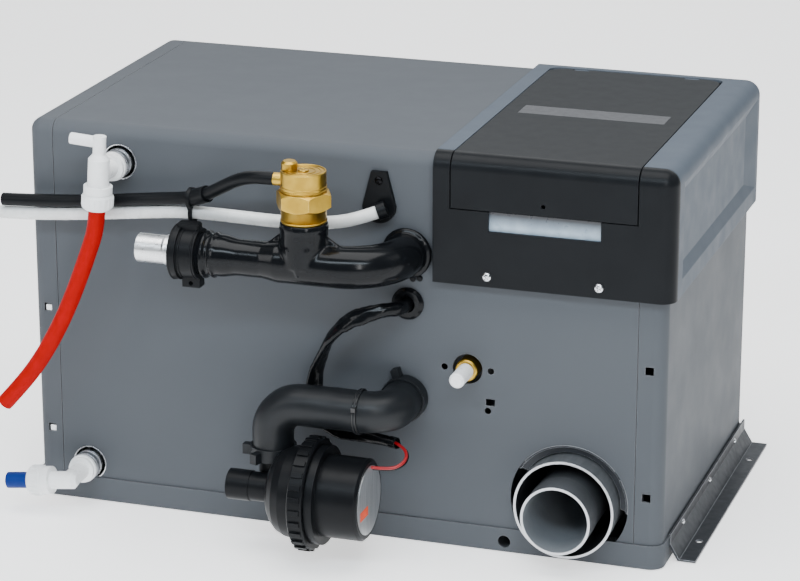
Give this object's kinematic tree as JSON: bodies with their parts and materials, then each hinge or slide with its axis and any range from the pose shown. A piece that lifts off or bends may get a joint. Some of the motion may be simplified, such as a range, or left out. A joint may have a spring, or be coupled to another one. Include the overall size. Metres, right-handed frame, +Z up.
{
  "type": "combi boiler",
  "caption": "Combi boiler for a leisure vehicle in a folded steel casing, with a hinged wiring lid, pump, air vent, tap water fittings, gas inlet and coaxial flue.",
  "frame": {"origin": "centre of the casing's footprint, on the floor under the base tray", "axes": "+X along the casing towards the hood, -Y towards the front panel with the pipes, +Z up"},
  "size_m": [0.5548, 0.392, 0.314],
  "materials": {
    "casing_grey": "satin",
    "galvanised_steel": "dull galvanised",
    "bright_steel": "bright",
    "hood_grey": "fine grain",
    "black_plastic": "fine grain",
    "plain_strip": "plain",
    "plain_plate": "plain",
    "board_green": "solder mask",
    "white_plastic": "moulded",
    "red_tube": "extruded",
    "blue_tube": "extruded",
    "aluminium_pipe": "drawn",
    "black_rubber": "smooth",
    "brass_fitting": "turned",
    "silver_plate": "brushed",
    "shaft_ceramic": "ground",
    "pump_magnet": "moulded",
    "lead_red": "insulated",
    "flue_dark": "dark",
    "motor_metal": "cast",
    "foam": "foam"
  },
  "bodies": {
    "boiler": {"air_intake": "flue_dark", "air_vent_body": "brass_fitting", "air_vent_cover": "brass_fitting", "base_tray": "casing_grey", "bracket_rivets": "bright_steel", "burner": "bright_steel", "cable_grommet": "black_rubber", "circuit_board": "board_green", "cold_elbow": "white_plastic", "cold_pipe": "blue_tube", "component_shelf": "galvanised_steel", "drain_tube": "white_plastic", "exhaust_duct": "flue_dark", "fan_housing": "black_plastic", "fan_motor": "motor_metal", "flow_clamp": "black_plastic", "flow_hose": "black_rubber", "flow_stub": "aluminium_pipe", "flue_collar": "bright_steel", "gas_union": "brass_fitting", "gas_valve": "brass_fitting", "heating_pipes": "aluminium_pipe", "hood_fascia": "black_plastic", "hood_shell": "hood_grey", "hot_pipe": "red_tube", "hot_tee": "white_plastic", "hot_water_tank": "bright_steel", "immersion_heaters": "bright_steel", "insulation": "foam", "lead_sleeve": "black_rubber", "left_end_cap": "casing_grey", "lid_hinge_pins": "bright_steel", "main_cover": "casing_grey", "mounting_brackets": "galvanised_steel", "panel_screws": "bright_steel", "pipe_nuts": "white_plastic", "pump_end_plate": "silver_plate", "pump_leads": "lead_red", "pump_motor_case": "black_plastic", "pump_shaft": "shaft_ceramic", "pump_union_ring": "black_plastic", "pump_volute": "black_plastic", "return_hose": "black_rubber", "return_hose_clamps": "black_rubber", "right_end_cap": "casing_grey", "tap_hole_sleeves": "bright_steel", "tap_water_pipes": "bright_steel", "terminal_block": "black_plastic", "vent_hose": "black_rubber", "wall_clip": "black_plastic", "water_jacket": "bright_steel", "window_plate": "plain_plate"},
    "lid": {"access_lid": "black_plastic", "lid_strip": "plain_strip"},
    "rotor": {"pump_rotor": "pump_magnet"},
    "fan": {"fan_wheel": "black_plastic"},
    "vent_cap": {"air_vent_cap": "brass_fitting"},
    "vent_float": {"air_vent_float": "white_plastic"},
    "tee_check": {"check_disc": "white_plastic"},
    "inlet_cap": {"gas_cap": "white_plastic"}
  },
  "joints": [
    {"name": "lid_hinge", "type": "hinge", "parent": "boiler", "child": "lid", "pos_m": [0.16, 0.1252, 0.3115], "axis": [-1, 0, 0], "range_deg": [0, 95]},
    {"name": "pump_spin", "type": "hinge", "parent": "boiler", "child": "rotor", "pos_m": [0, -0.2025, 0.0535], "axis": [1, 0, 0], "continuous": true},
    {"name": "fan_spin", "type": "hinge", "parent": "boiler", "child": "fan", "pos_m": [0.12, 0.0075, 0.15], "axis": [1, 0, 0], "continuous": true},
    {"name": "vent_cap_turn", "type": "hinge", "parent": "boiler", "child": "vent_cap", "pos_m": [-0.02, -0.1945, 0.304], "axis": [0, 0, 1], "range_deg": [0, 270]},
    {"name": "vent_float_lift", "type": "slide", "parent": "boiler", "child": "vent_float", "axis": [0, 0, 1], "range_m": [0, 0.005]},
    {"name": "check_lift", "type": "slide", "parent": "boiler", "child": "tee_check", "axis": [0.0698, 0, 0.9976], "range_m": [0, 0.004]},
    {"name": "gas_cap_pull", "type": "slide", "parent": "boiler", "child": "inlet_cap", "axis": [0, -1, 0], "range_m": [0, 0.03]}
  ]
}
